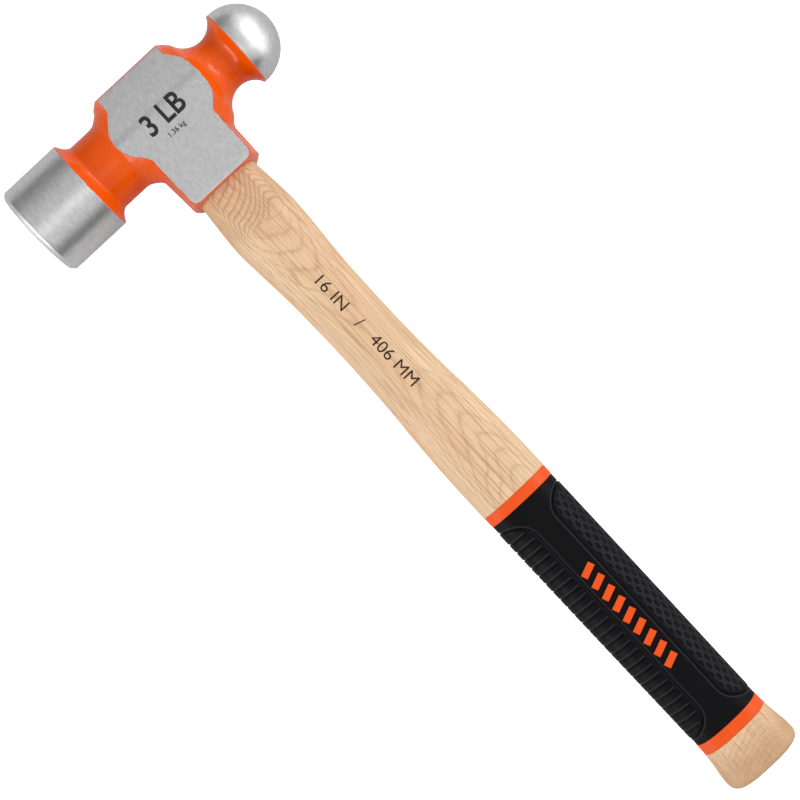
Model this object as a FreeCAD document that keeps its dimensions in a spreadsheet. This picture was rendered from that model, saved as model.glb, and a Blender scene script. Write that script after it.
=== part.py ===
"""Ball peen hammer, 48 oz class: forged head, hickory handle, wedges and a two-colour grip.

Frame: +X runs along the handle from head to butt, +Y along the head from the striking face to
the ball, +Z out of the upper cheek. The hammer lies on its side; the origin is under the middle
of its box. The pieces are drawn about the eye centre and moved there by their Placement.
"""
import FreeCAD, Part
import math
import os

import Sketcher

Vector = FreeCAD.Vector

# Driving dimensions in millimetres (alias, value, meaning).
SIZES = (
    ("poll_radius", 22.3, "radius of the striking poll"),
    ("poll_rim", -72.9, "Y of the poll's outer edge"),
    ("face_apex", -76.0, "Y of the crowned face's middle"),
    ("face_edge", -74.7, "Y where the crown meets the chamfer"),
    ("face_radius", 20.5, "radius of the crowned face"),
    ("crown_radius", 162.3, "spherical radius of the crown"),
    ("poll_back", -43.7, "Y where the poll ends"),
    ("neck_front", -39.5, "Y where the neck starts"),
    ("neck_radius", 17.2, "radius of the poll's neck"),
    ("cone_arc", 9.0, "radius of the hollow behind the poll"),
    ("neck_flare", 7.2, "radius of the flare from neck to eye block"),
    ("flare_end", -19.6, "Y where the neck's flare ends"),
    ("block_poll_side", -21.4, "Y of the block's poll side wall at the top, at mid-plane"),
    ("poll_taper", 3.0, "how much that wall comes in at the bottom"),
    ("cheek_poll_side", -16.6, "Y of the cheek's edge on the poll side"),
    ("block_ball_side", 20.2, "Y of the block's ball side wall at the top, at mid-plane"),
    ("block_top", -22.2, "X of the eye block's top face"),
    ("block_bottom", 40.8, "X of the eye block's bottom face"),
    ("block_taper", 0.9, "how much the ball side wall comes in at the bottom"),
    ("bevel_drop", 1.9, "how far the top face's bevels come down at the cheeks"),
    ("bevel_wide", 5.0, "width of the top face's bevels along Z"),
    ("block_draft", 2.4, "how much the ball side wall leans in from mid-plane to cheek"),
    ("block_corner", 1.5, "radius of the block's bottom corners"),
    ("cheek_half", 18.0, "half the thickness over the ground cheeks"),
    ("waist_radius", 12.8, "smallest radius of the peen's neck"),
    ("waist_at", 33.4, "Y of the peen neck's waist"),
    ("waist_flare", 11.0, "profile radius from eye block to waist"),
    ("waist_cup", 10.0, "profile radius from waist to ball"),
    ("ball_radius", 18.8, "radius of the ball"),
    ("ball_centre", 43.8, "Y of the ball's centre"),
    ("cut_reach", 30.0, "how far the cheek and top cuts run along Y"),
    ("cut_size", 40.0, "how far the cheek and top cuts run outward"),
    ("eye_top_long", 31.0, "length of the eye along Y at the top"),
    ("eye_top_thick", 20.4, "width of the eye along Z at the top"),
    ("eye_low_long", 28.6, "length of the eye along Y at the bottom"),
    ("eye_low_thick", 18.4, "width of the eye along Z at the bottom"),
    ("wedge_depth", 34.0, "how deep the wooden wedge goes"),
    ("wedge_thick", 4.6, "thickness of the wooden wedge at the top"),
    ("wedge_tip", 0.8, "thickness of the wooden wedge at its tip"),
    ("steel_depth", 22.0, "how deep the steel wedges go"),
    ("steel_thick", 3.2, "thickness of a steel wedge at the top"),
    ("steel_tip", 0.6, "thickness of a steel wedge at its tip"),
    ("steel_long", 13.0, "length of a steel wedge across the kerf"),
    ("steel_offset", 6.5, "distance of each steel wedge from the eye's middle"),
    ("oval_power", 2.5, "squareness of the handle's oval section"),
    ("root_thick", 11.5, "half thickness left at the root facets"),
    ("root_end", 64.7, "X where the root facets run out"),
    ("grip_start", 222.5, "X where the grip starts"),
    ("cover_start", 227.7, "X where the black cover starts"),
    ("cover_end", 356.9, "X where the black cover ends"),
    ("grip_end", 362.4, "X where the grip ends"),
    ("liner_wall", 1.5, "thickness of the inner sleeve"),
    ("cover_wall", 2.0, "thickness of the cover"),
    ("butt_end", 383.4, "X of the butt's end"),
    ("butt_round", 4.2, "rounding of the butt's edge"),
    ("mark_start", 268.0, "X of the first bar of the inlaid mark"),
    ("mark_pitch", 6.5, "distance between the bars of the mark"),
    ("mark_bar", 3.2, "width of a bar"),
    ("mark_long", 7.0, "length of a bar before it is slanted"),
    ("mark_slant", 22.0, "slant of the bars in degrees"),
)
MARK_BARS = 9
OVAL_POINTS = 32
HALF_CIRCLE_TOLERANCE = 0.001

# The handle's outline: X, half width along Y, half depth along Z.
STATIONS = (
    (40.8, 15.1, 12.7),
    (50.0, 16.0, 13.2),
    (64.7, 17.0, 13.4),
    (78.0, 16.4, 13.0),
    (91.0, 15.5, 12.5),
    (105.0, 14.9, 12.1),
    (132.0, 14.65, 11.9),
    (160.0, 15.4, 12.1),
    (175.0, 16.35, 12.4),
    (200.0, 17.35, 12.7),
    (222.5, 17.5, 12.8),
    (290.0, 17.4, 12.8),
    (350.0, 17.15, 12.8),
    (362.4, 17.25, 12.9),
    (370.0, 17.9, 13.2),
    (375.6, 18.7, 13.7),
    (383.4, 18.8, 13.8),
)

doc = FreeCAD.newDocument("ball_peen_hammer")
sheet = doc.addObject("Spreadsheet::Sheet", "sizes")
for row, (alias, value, meaning) in enumerate(SIZES, start=1):
    sheet.set(f"A{row}", alias)
    sheet.set(f"B{row}", str(value))
    sheet.set(f"C{row}", meaning)
    sheet.setAlias(f"B{row}", alias)
doc.recompute()


def size(alias):
    """The sheet's value of one driving dimension."""
    return float(getattr(sheet, alias))


def value_of(expression):
    """What an expression over the sheet comes to, in millimetres."""
    result = sheet.evalExpression(expression)
    return float(getattr(result, "Value", result))


def new_body(name):
    return doc.addObject("PartDesign::Body", name)


def origin_feature(body, role):
    """One of a body's own origin planes or axes, by its role."""
    return next(item for item in body.Origin.OriginFeatures if item.Role == role)


def new_sketch(body, name, plane, height="0 mm"):
    """An empty sketch on an origin plane, raised along the plane's normal by an expression."""
    sketch = body.newObject("Sketcher::SketchObject", name)
    sketch.AttachmentSupport = [(origin_feature(body, plane), "")]
    sketch.MapMode = "FlatFace"
    sketch.setExpression("AttachmentOffset.Base.z", height)
    return sketch


def fix_point(sketch, edge, end, expressions):
    """Tie one end of an edge to two coordinates given as expressions."""
    for kind, expression in zip(("DistanceX", "DistanceY"), expressions):
        index = sketch.addConstraint(
            Sketcher.Constraint(kind, -1, 1, edge, end, value_of(expression)))
        sketch.setExpression(f"Constraints[{index}]", expression)


def closed_outline(sketch, points, arcs=None):
    """A closed outline through points given as expressions.

    arcs maps the index of a stretch to (radius expression, side): side +1 puts the arc's centre
    to the left of the stretch, -1 to the right. A half circle is fixed by its centre's X.
    """
    arcs = arcs or {}
    spots = [Vector(value_of(x), value_of(y), 0) for x, y in points]
    first = sketch.GeometryCount
    for index, start in enumerate(spots):
        end = spots[(index + 1) % len(spots)]
        if index in arcs:
            radius, side = value_of(arcs[index][0]), arcs[index][1]
            sketch.addGeometry(arc_between(start, end, radius, side), False)
        else:
            sketch.addGeometry(Part.LineSegment(start, end), False)
    for index, expressions in enumerate(points):
        edge = first + index
        start_end = 2 if index in arcs and arcs[index][1] < 0 else 1
        fix_point(sketch, edge, start_end, expressions)
        before = (index - 1) % len(points)
        before_end = 1 if before in arcs and arcs[before][1] < 0 else 2
        sketch.addConstraint(
            Sketcher.Constraint("Coincident", first + before, before_end, edge, start_end))
    for index, (radius, _side) in arcs.items():
        chord = (spots[(index + 1) % len(spots)] - spots[index]).Length
        if abs(chord - 2 * value_of(radius)) < HALF_CIRCLE_TOLERANCE:
            kind, expression = ("DistanceX", -1, 1, first + index, 3), points[index][0]
        else:
            kind, expression = ("Radius", first + index), radius
        number = sketch.addConstraint(Sketcher.Constraint(*kind, value_of(expression)))
        sketch.setExpression(f"Constraints[{number}]", expression)


def arc_between(start, end, radius, side):
    """The short arc from start to end with its centre on one side, run anticlockwise."""
    chord = end - start
    half = chord.Length / 2
    rise = math.sqrt(max(radius * radius - half * half, 0))
    normal = Vector(-chord.y, chord.x, 0).normalize() * side
    centre = (start + end) * 0.5 + normal * rise
    first, last = (start, end) if side > 0 else (end, start)
    from_angle = math.atan2(first.y - centre.y, first.x - centre.x)
    to_angle = math.atan2(last.y - centre.y, last.x - centre.x)
    if to_angle < from_angle:
        to_angle += 2 * math.pi
    circle = Part.Circle(centre, Vector(0, 0, 1), radius)
    return Part.ArcOfCircle(circle, from_angle, to_angle)


def rectangle(left, low, right, high):
    """The corners of a rectangle, as expressions."""
    return ((left, low), (right, low), (right, high), (left, high))


# ---------------------------------------------------------------- head
def add_revolved_form(body):
    """Poll, neck, flares and ball, turned about the head's axis."""
    sketch = new_sketch(body, "head_profile", "XY_Plane")
    cup_end = "sizes.waist_at + sqrt(sizes.waist_cup^2 - (sizes.waist_radius + sizes.waist_cup" \
        " - sizes.ball_radius + 0.1)^2)"
    points = (
        ("0", "sizes.face_apex"),
        ("sizes.face_radius", "sizes.face_edge"),
        ("sizes.poll_radius", "sizes.poll_rim"),
        ("sizes.poll_radius", "sizes.poll_back"),
        ("sizes.neck_radius", "sizes.neck_front"),
        ("sizes.neck_radius", "sizes.flare_end - sizes.neck_flare"),
        ("sizes.neck_radius + sizes.neck_flare", "sizes.flare_end"),
        ("sizes.waist_radius + sizes.waist_flare", "sizes.waist_at - sizes.waist_flare"),
        ("sizes.waist_radius", "sizes.waist_at"),
        ("sizes.ball_radius - 0.1", cup_end),
        ("sizes.ball_radius", "sizes.ball_centre"),
        ("0", "sizes.ball_centre + sizes.ball_radius"),
    )
    arcs = {
        0: ("sizes.crown_radius", 1),
        3: ("sizes.cone_arc", -1),
        5: ("sizes.neck_flare", -1),
        7: ("sizes.waist_flare", -1),
        8: ("sizes.waist_cup", -1),
        10: ("sizes.ball_radius", 1),
    }
    closed_outline(sketch, points, arcs)
    turned = body.newObject("PartDesign::Revolution", "turned_form")
    turned.Profile = sketch
    turned.ReferenceAxis = (sketch, ["V_Axis"])
    turned.Angle = 360


def block_section(body, name, height, poll_side, ball_side):
    """Six-sided section of the eye block: widest at mid-plane, leaning in to the cheeks."""
    sketch = new_sketch(body, name, "YZ_Plane", height)
    closed_outline(sketch, (
        (poll_side, "0"),
        ("sizes.cheek_poll_side", "-sizes.cheek_half"),
        (f"{ball_side} - sizes.block_draft", "-sizes.cheek_half"),
        (ball_side, "0"),
        (f"{ball_side} - sizes.block_draft", "sizes.cheek_half"),
        ("sizes.cheek_poll_side", "sizes.cheek_half"),
    ))
    return sketch


def add_eye_block(body):
    top = block_section(body, "block_top_section", "sizes.block_top",
                        "sizes.block_poll_side", "sizes.block_ball_side")
    low = block_section(body, "block_low_section", "sizes.block_bottom",
                        "sizes.block_poll_side + sizes.poll_taper",
                        "sizes.block_ball_side - sizes.block_taper")
    block = body.newObject("PartDesign::AdditiveLoft", "eye_block")
    block.Profile = top
    block.Sections = [low]
    block.Ruled = True


def add_cut(body, name, plane, outlines):
    """Cut outlines right through the body, both ways from their plane."""
    before = body.Shape.Volume
    sketch = new_sketch(body, f"{name}_sketch", plane)
    for outline in outlines:
        closed_outline(sketch, outline)
    cut = body.newObject("PartDesign::Pocket", name)
    cut.Profile = sketch
    cut.Midplane = True
    cut.setExpression("Length", "4 * sizes.cut_size")
    doc.recompute()
    if not body.Shape.Volume < before:
        raise RuntimeError(f"{name} removed nothing")


def make_head(eye_form):
    body = new_body("head_blank")
    add_revolved_form(body)
    add_eye_block(body)
    doc.recompute()
    reach, outward = "sizes.cut_reach", "sizes.cut_size"
    near, far = f"-{reach}", "sizes.waist_at - 4"
    add_cut(body, "ground_cheeks", "YZ_Plane", (
        rectangle(near, "sizes.cheek_half", far, outward),
        rectangle(near, f"-{outward}", far, "-sizes.cheek_half"),
    ))
    add_cut(body, "flat_top", "XY_Plane", (
        rectangle(f"-{outward}", near, "sizes.block_top", far),
    ))
    add_cut(body, "top_bevels", "XZ_Plane", (bevel(1), bevel(-1)))
    round_block_corners(body)
    head = doc.addObject("Part::Cut", "head")
    head.Base = body
    head.Tool = eye_form
    return head


def bevel(side):
    """The corner cut off between the top face and one cheek, seen along the head's axis."""
    above, below = "sizes.block_top - 0.3 * sizes.bevel_drop", "sizes.block_top + 1.3 * sizes.bevel_drop"
    inner = f"{side} * (sizes.cheek_half - 1.3 * sizes.bevel_wide)"
    outer = f"{side} * (sizes.cheek_half + 0.3 * sizes.bevel_wide)"
    return (above, inner), (below, outer), (above, outer)


def round_block_corners(body):
    """Round the upright edges at the four corners of the block's bottom face."""
    bottom = size("block_bottom")
    corners = []
    for number, edge in enumerate(body.Shape.Edges, start=1):
        ends = [vertex.Point for vertex in edge.Vertexes]
        on_bottom = all(abs(point.x - bottom) < 0.01 for point in ends)
        upright = len(ends) == 2 and abs(ends[0].z - ends[1].z) > 1
        if on_bottom and upright:
            corners.append(f"Edge{number}")
    blank = body.Tip
    rounding = body.newObject("PartDesign::Fillet", "block_corners")
    rounding.Base = (blank, corners)
    rounding.setExpression("Radius", "sizes.block_corner")


# ---------------------------------------------------------------- eye, wedges
def eye_section(body, name, height, long_way, thick):
    """A round-ended slot: the eye's outline at one height."""
    sketch = new_sketch(body, name, "YZ_Plane", height)
    flat = f"({long_way} - {thick}) / 2"
    half = f"{thick} / 2"
    closed_outline(sketch, (
        (f"-{flat}", f"-{half}"),
        (flat, f"-{half}"),
        (flat, half),
        (f"-{flat}", half),
    ), {1: (half, 1), 3: (half, 1)})
    return sketch


def make_eye_form():
    """The space in the eye: it narrows from the top down to where the handle enters."""
    body = new_body("eye_form")
    low = eye_section(body, "eye_low", "sizes.block_bottom", "sizes.eye_low_long",
                      "sizes.eye_low_thick")
    top = eye_section(body, "eye_top", "sizes.block_top", "sizes.eye_top_long",
                      "sizes.eye_top_thick")
    form = body.newObject("PartDesign::AdditiveLoft", "eye_taper")
    form.Profile = top
    form.Sections = [low]
    form.Ruled = True
    return body


def wedge_body(name, plane, depth, thick, tip, width, shift="0"):
    """A wedge that narrows from the eye's top face downwards."""
    body = new_body(name)
    sketch = new_sketch(body, f"{name}_sketch", plane)
    deep = f"sizes.block_top + {depth}"
    if plane == "XY_Plane":
        points = (("sizes.block_top", f"{shift} - {thick} / 2"), (deep, f"{shift} - {tip} / 2"),
                  (deep, f"{shift} + {tip} / 2"), ("sizes.block_top", f"{shift} + {thick} / 2"))
    else:
        points = (("sizes.block_top", f"-{thick} / 2"), (deep, f"-{tip} / 2"),
                  (deep, f"{tip} / 2"), ("sizes.block_top", f"{thick} / 2"))
    closed_outline(sketch, points)
    pad = body.newObject("PartDesign::Pad", f"{name}_pad")
    pad.Profile = sketch
    pad.Midplane = True
    pad.setExpression("Length", width)
    return body


def boolean(kind, name, base, tool):
    result = doc.addObject(f"Part::{kind}", name)
    result.Base = base
    result.Tool = tool
    return result


def make_wedges(eye_form):
    """The wooden wedge in the kerf and the two steel wedges across it."""
    kerf = wedge_body("kerf_form", "XZ_Plane", "sizes.wedge_depth", "sizes.wedge_thick",
                      "sizes.wedge_tip", "2 * sizes.eye_top_long")
    steel = [wedge_body(f"steel_form_{number}", "XY_Plane", "sizes.steel_depth",
                        "sizes.steel_thick", "sizes.steel_tip", "sizes.steel_long",
                        f"{side} * sizes.steel_offset")
             for number, side in ((1, -1), (2, 1))]
    both = boolean("Fuse", "steel_forms", *steel)
    whole_wedge = boolean("Common", "whole_wooden_wedge", kerf, eye_form)
    wood = boolean("Cut", "wood_wedge", whole_wedge, both)
    wedges = boolean("Fuse", "all_wedges", whole_wedge, both)
    return wood, steel, wedges


# ---------------------------------------------------------------- handle, grip
def oval(x, half_width, half_depth):
    """A squarish oval wire across the handle at X."""
    power = 2 / size("oval_power")
    points = []
    for index in range(OVAL_POINTS):
        turn = 2 * math.pi * (index + 0.5) / OVAL_POINTS
        across, up = math.cos(turn), math.sin(turn)
        points.append(Vector(x,
                             math.copysign(abs(across) ** power, across) * half_width,
                             math.copysign(abs(up) ** power, up) * half_depth))
    curve = Part.BSplineCurve()
    curve.interpolate(Points=points, PeriodicFlag=True)
    return Part.Wire([curve.toShape()])


def oval_rod(start, end, inset):
    """A straight oval rod, smaller than the grip all round by inset."""
    _x, half_width, half_depth = STATIONS[len(STATIONS) // 2 + 3]
    return Part.makeLoft([oval(x, half_width - inset, half_depth - inset)
                          for x in (start, end)], True, True)


def slab(start, end):
    """Everything between two places along the handle."""
    wide = size("cut_size")
    return Part.makeBox(end - start, 2 * wide, 2 * wide, Vector(start, -wide, -wide))


def outer_form():
    """The whole handle with its grip, from the eye to the rounded butt."""
    form = Part.makeLoft([oval(*station) for station in STATIONS], True)
    butt = [edge for edge in form.Edges
            if edge.BoundBox.XMin > size("butt_end") - 0.1]
    return form.makeFillet(size("butt_round"), butt)


def root_cutter():
    """A sloping cut that thins the handle from the end of the facet to the eye."""
    start, end = size("block_bottom") - 1, size("root_end")
    thin, full = size("root_thick"), STATIONS[2][2]
    high = size("cut_size")
    beyond = end + (high - full) * (end - start) / (full - thin)
    outline = Part.makePolygon([
        Vector(start, -high, thin), Vector(beyond, -high, high), Vector(start, -high, high),
        Vector(start, -high, thin)])
    return Part.Face(outline).extrude(Vector(0, 2 * high, 0))


def mark_bars():
    """The slanted bars of the mark, standing on the inner sleeve's upper side."""
    long_way, wide = size("mark_long"), size("mark_bar")
    bars = []
    for index in range(MARK_BARS):
        bar = Part.makeBox(wide, long_way, size("cut_size"),
                           Vector(-wide / 2, -long_way / 2, 0))
        bar.rotate(Vector(0, 0, 0), Vector(0, 0, 1), size("mark_slant"))
        bar.translate(Vector(size("mark_start") + index * size("mark_pitch"), 0, 0))
        bars.append(bar)
    return bars


def add_feature(name, shape):
    feature = doc.addObject("Part::Feature", name)
    feature.Shape = shape
    return feature


def make_grip(form):
    """The inner sleeve with its two end bands and the bars, and the cover around it."""
    core = grip_core()
    cover_start, cover_end = size("cover_start"), size("cover_end")
    inner = oval_rod(cover_start, cover_end, size("cover_wall"))
    shell = form.common(slab(cover_start, cover_end)).cut(inner)
    bars = Part.makeCompound(mark_bars())
    first_band = form.common(slab(size("grip_start"), cover_start))
    last_band = form.common(slab(cover_end, size("grip_end")))
    liner = inner.fuse([first_band, last_band, *shell.common(bars).Solids]).cut(core)
    return add_feature("grip_liner", liner), add_feature("grip_cover", shell.cut(bars))


def grip_core():
    """The wood under the grip."""
    return oval_rod(size("grip_start"), size("grip_end"),
                    size("liner_wall") + size("cover_wall"))


def make_handle(form, eye_form, wedges):
    """Shaft with root facets and a recess for the grip, joined to the wedged tenon."""
    upper = root_cutter()
    lower = upper.mirror(Vector(0, 0, 0), Vector(0, 0, 1))
    bare = form.cut(slab(size("grip_start"), size("grip_end"))).cut(upper).cut(lower)
    shaft = add_feature("shaft", grip_core().fuse(bare.Solids))
    tenon = boolean("Cut", "tenon", eye_form, wedges)
    return boolean("Fuse", "handle", shaft, tenon)


# ---------------------------------------------------------------- assembly
def build():
    eye_form = make_eye_form()
    head = make_head(eye_form)
    wood, steel, wedges = make_wedges(eye_form)
    form = outer_form()
    liner, cover = make_grip(form)
    handle = make_handle(form, eye_form, wedges)
    steel[0].Label = "steel_wedge_1"
    steel[1].Label = "steel_wedge_2"
    return [head, handle, wood, *steel, liner, cover]


def place(pieces):
    """Move every piece so that the origin lies under the middle of the hammer's box."""
    middle_x = (size("butt_end") - size("poll_radius")) / 2
    middle_y = (size("face_apex") + size("ball_centre") + size("ball_radius")) / 2
    shift = Vector(-middle_x, -middle_y, size("poll_radius"))
    for piece in pieces:
        piece.Placement = FreeCAD.Placement(shift, FreeCAD.Rotation())


def check(pieces):
    """Stop if anything failed to build."""
    failed = [item.Label for item in doc.Objects
              if "Invalid" in item.State or "Error" in item.State]
    if failed:
        raise RuntimeError(f"failed: {failed}")
    for piece in pieces:
        if piece.Shape.isNull() or not piece.Shape.isValid():
            raise RuntimeError(f"bad shape: {piece.Label}")


def write(pieces):
    os.makedirs("parts", exist_ok=True)
    for piece in pieces:
        shape = piece.Shape
        shape.exportStep(f"parts/{piece.Label}.step")
        box = shape.optimalBoundingBox()
        print(f"{piece.Label}: {len(shape.Solids)} solid, {shape.Volume / 1000:.2f} cm3, "
              f"x {box.XMin:.1f}..{box.XMax:.1f} y {box.YMin:.1f}..{box.YMax:.1f} "
              f"z {box.ZMin:.1f}..{box.ZMax:.1f}")


pieces = build()
doc.recompute()
check(pieces)
place(pieces)
doc.recompute()
check(pieces)
write(pieces)
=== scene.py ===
"""Looks of the ball peen hammer: ground and enamelled head, hickory handle, two-colour grip.

Shapes are worked out in millimetres from the eye's centre, the crossing of the head's axis and
the handle's axis: X towards the butt, Y towards the ball, Z out of the upper cheek.
"""
import math

import bmesh
import bpy
from mathutils import Matrix, Vector


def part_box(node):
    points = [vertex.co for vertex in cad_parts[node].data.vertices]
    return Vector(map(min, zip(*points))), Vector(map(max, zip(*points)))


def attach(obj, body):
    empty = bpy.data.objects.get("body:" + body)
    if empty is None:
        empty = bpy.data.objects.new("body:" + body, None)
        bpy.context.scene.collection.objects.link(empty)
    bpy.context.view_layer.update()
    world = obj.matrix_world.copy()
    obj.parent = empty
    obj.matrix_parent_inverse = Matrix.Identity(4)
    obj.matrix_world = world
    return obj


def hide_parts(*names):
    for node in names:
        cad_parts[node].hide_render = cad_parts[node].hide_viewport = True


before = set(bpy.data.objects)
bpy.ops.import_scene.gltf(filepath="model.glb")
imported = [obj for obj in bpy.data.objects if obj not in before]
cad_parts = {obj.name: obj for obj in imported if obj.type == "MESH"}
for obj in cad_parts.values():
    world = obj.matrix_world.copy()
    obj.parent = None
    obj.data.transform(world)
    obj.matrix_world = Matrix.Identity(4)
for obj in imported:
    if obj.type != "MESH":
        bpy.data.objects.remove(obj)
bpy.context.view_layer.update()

MM = 0.001

# ------------------------------------------------------------------ sizes, millimetres
POLL_RADIUS = 22.3
FACE_APEX = -76.0
FACE_EDGE = -74.7
FACE_RADIUS = 20.5
CROWN_RADIUS = 162.3
POLL_RIM = -72.9
POLL_BACK = -43.7
NECK_FRONT = -39.5
NECK_RADIUS = 17.2
NECK_FLARE = 7.2
BLOCK_POLL_SIDE = -21.4
POLL_TAPER = 3.0
CHEEK_POLL_SIDE = -16.6
BLOCK_BALL_SIDE = 20.2
BLOCK_TOP = -22.2
BEVEL_DROP = 1.9
BEVEL_WIDE = 5.0
CAST_EDGE = 0.8
GROUND_EDGE = 0.12
POLL_FLARE_BLEND = (18.6, 23.6)
BALL_FLARE_BLEND = (19.6, 25.0)
BLOCK_BOTTOM = 40.8
BLOCK_TAPER = 0.9
BLOCK_DRAFT = 2.4
CHEEK = 18.0
WAIST_RADIUS = 12.8
WAIST_AT = 33.4
WAIST_FLARE = 11.0
WAIST_CUP = 10.0
BALL_RADIUS = 18.8
BALL_CENTRE = 43.8
BALL_PAINT_EDGE = 43.1
EYE_TOP = (31.0, 20.4)
EYE_LOW = (28.6, 18.4)
EYE_CLEAR = 0.16
EYE_MOUTH = 1.2
KERF_TOP = 4.6
GRIP_START = 222.5
COVER_START = 227.7
COVER_END = 356.9
GRIP_END = 362.4
COVER_WALL = 2.0
SLEEVE_WALL = 3.5
BUTT_END = 383.4
BUTT_ROUND = 4.2
OVAL_POWER = 2.5
ROOT_END = 64.7
ROOT_CUT = 1.9
ROOT_EASE = 0.15

# The handle's outline: X, half width along Y, half depth along Z.
STATIONS = (
    (40.8, 15.1, 12.7), (50.0, 16.0, 13.2), (64.7, 17.0, 13.4), (78.0, 16.4, 13.0),
    (91.0, 15.5, 12.5), (105.0, 14.9, 12.1), (132.0, 14.65, 11.9), (160.0, 15.4, 12.1),
    (175.0, 16.35, 12.4), (200.0, 17.35, 12.7), (222.5, 17.5, 12.8), (290.0, 17.4, 12.8),
    (350.0, 17.15, 12.8), (362.4, 17.25, 12.9), (370.0, 17.9, 13.2), (375.6, 18.7, 13.7),
    (383.4, 18.8, 13.8),
)

HEAD_LOW, HEAD_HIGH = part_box("head")
EYE = Vector((HEAD_LOW[0] + POLL_RADIUS * MM,
              HEAD_LOW[1] - FACE_APEX * MM,
              (HEAD_LOW[2] + HEAD_HIGH[2]) / 2))


def to_row(x, y, z):
    """A point given in millimetres from the eye's centre, in the row's frame in metres."""
    return (EYE[0] + x * MM, EYE[1] + y * MM, EYE[2] + z * MM)


def smoothstep(low, high, value):
    """0 below low, 1 above high, and a soft S between."""
    part = min(max((value - low) / (high - low), 0.0), 1.0)
    return part * part * (3 - 2 * part)


def mix(a, b, part):
    """The value that lies part of the way from a to b."""
    return a + (b - a) * part


def spread(low, high, count):
    """count + 1 evenly spaced values."""
    return [mix(low, high, index / count) for index in range(count + 1)]


# ------------------------------------------------------------------ meshes
def mesh_piece(name, points, faces, material):
    """A mesh of points in millimetres, as a piece that rides on the hammer."""
    mesh = bpy.data.meshes.new(name)
    mesh.from_pydata([to_row(*point) for point in points], [], faces)
    mesh.validate()
    piece = bpy.data.objects.new(name, mesh)
    bpy.context.scene.collection.objects.link(piece)
    mesh.materials.append(material)
    mesh.polygons.foreach_set("use_smooth", [True] * len(mesh.polygons))
    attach(piece, "root")
    return piece


def tidy_mesh(piece, gap, sharp):
    """Merge doubled points, face outwards and keep hard edges hard."""
    work = bmesh.new()
    work.from_mesh(piece.data)
    bmesh.ops.remove_doubles(work, verts=work.verts, dist=gap * MM)
    bmesh.ops.dissolve_degenerate(work, edges=work.edges, dist=gap * MM / 4)
    bmesh.ops.recalc_face_normals(work, faces=work.faces)
    work.to_mesh(piece.data)
    work.free()
    piece.data.set_sharp_from_angle(angle=math.radians(sharp))


def ring_faces(rings, count, closed_rows=False):
    """Quads between rings of count points each."""
    faces = []
    last = rings if closed_rows else rings - 1
    for row in range(last):
        below, above = row * count, ((row + 1) % rings) * count
        for column in range(count):
            after = (column + 1) % count
            faces.append((below + column, below + after, above + after, above + column))
    return faces


# ------------------------------------------------------------------ head
def corner_angles():
    """Angles about the head's axis: even, with more of them at the block's long edges."""
    edges = (math.atan2(CHEEK, BLOCK_BOTTOM), math.atan2(CHEEK, BLOCK_TOP + BEVEL_DROP),
             math.atan2(CHEEK - BEVEL_WIDE, BLOCK_TOP))
    close = [math.radians(step) for step in (-3.0, -1.6, -0.9, -0.45, 0.0, 0.45, 0.9, 1.6, 3.0)]
    clear = math.radians(3.8)
    half = [angle for angle in spread(0, math.pi, 112)
            if all(abs(angle - edge) > clear for edge in edges)]
    half = sorted(half + [edge + step for edge in edges for step in close])
    return half + [-angle for angle in reversed(half[1:-1])]


def block_reach(angle):
    """How far the eye block's faces stand from the head's axis, with softened long edges.

    Each face is a plane, and its share is the inverse of its distance in this direction. The
    nearest plane has the largest share, and a high power mean of the shares rounds the edges.
    """
    across, up = math.cos(angle), abs(math.sin(angle))
    low = (BLOCK_TOP, CHEEK - BEVEL_WIDE)
    bevel_level = BEVEL_DROP * low[1] - BEVEL_WIDE * low[0]
    bevel = (BEVEL_DROP * up - BEVEL_WIDE * across) / bevel_level
    end = across / BLOCK_BOTTOM if across > 0 else across / BLOCK_TOP
    planes = [share for share in (up / CHEEK, end, bevel) if share > 0]
    largest, hardness = max(planes), 200
    total = sum((share / largest) ** hardness for share in planes)
    return 1 / (largest * total ** (1 / hardness))


def poll_wall(x):
    """Y of the block's poll side wall at mid-plane."""
    part = min(max((x - BLOCK_TOP) / (BLOCK_BOTTOM - BLOCK_TOP), 0.0), 1.0)
    return BLOCK_POLL_SIDE + POLL_TAPER * part


def wall_places(radius, angle):
    """Y of the block's two side walls at a place, with draft and rounded lower corners."""
    x, z = radius * math.cos(angle), radius * math.sin(angle)
    lean = abs(z) / CHEEK
    corner = 1.0 + 2.2 * lean ** 3
    past = max(x - (BLOCK_BOTTOM - corner), 0.0)
    rounding = corner - math.sqrt(max(corner ** 2 - min(past, corner) ** 2, 0.0))
    taper = BLOCK_TAPER * (x - BLOCK_TOP) / (BLOCK_BOTTOM - BLOCK_TOP)
    return (mix(poll_wall(x), CHEEK_POLL_SIDE, lean) + rounding,
            BLOCK_BALL_SIDE - taper - BLOCK_DRAFT * lean - rounding)


def poll_flare(radius, angle):
    """Y of the surface from neck to wall on the poll side."""
    inside = max(NECK_FLARE ** 2 - max(NECK_RADIUS + NECK_FLARE - radius, 0.0) ** 2, 0.0)
    flare = poll_wall(radius * math.cos(angle)) - NECK_FLARE + math.sqrt(inside)
    return mix(flare, wall_places(radius, angle)[0], smoothstep(*POLL_FLARE_BLEND, radius))


def ball_flare(radius, angle):
    """Y of the surface from waist to wall on the ball side."""
    inside = max(WAIST_FLARE ** 2 - max(WAIST_RADIUS + WAIST_FLARE - radius, 0.0) ** 2, 0.0)
    flare = WAIST_AT - math.sqrt(inside)
    return mix(flare, wall_places(radius, angle)[1], smoothstep(*BALL_FLARE_BLEND, radius))


def eased(count):
    """0 to 1, close together at the start, as along an arc."""
    return [1 - math.cos(part * math.pi / 2) for part in spread(0, 1, count)]


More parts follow.
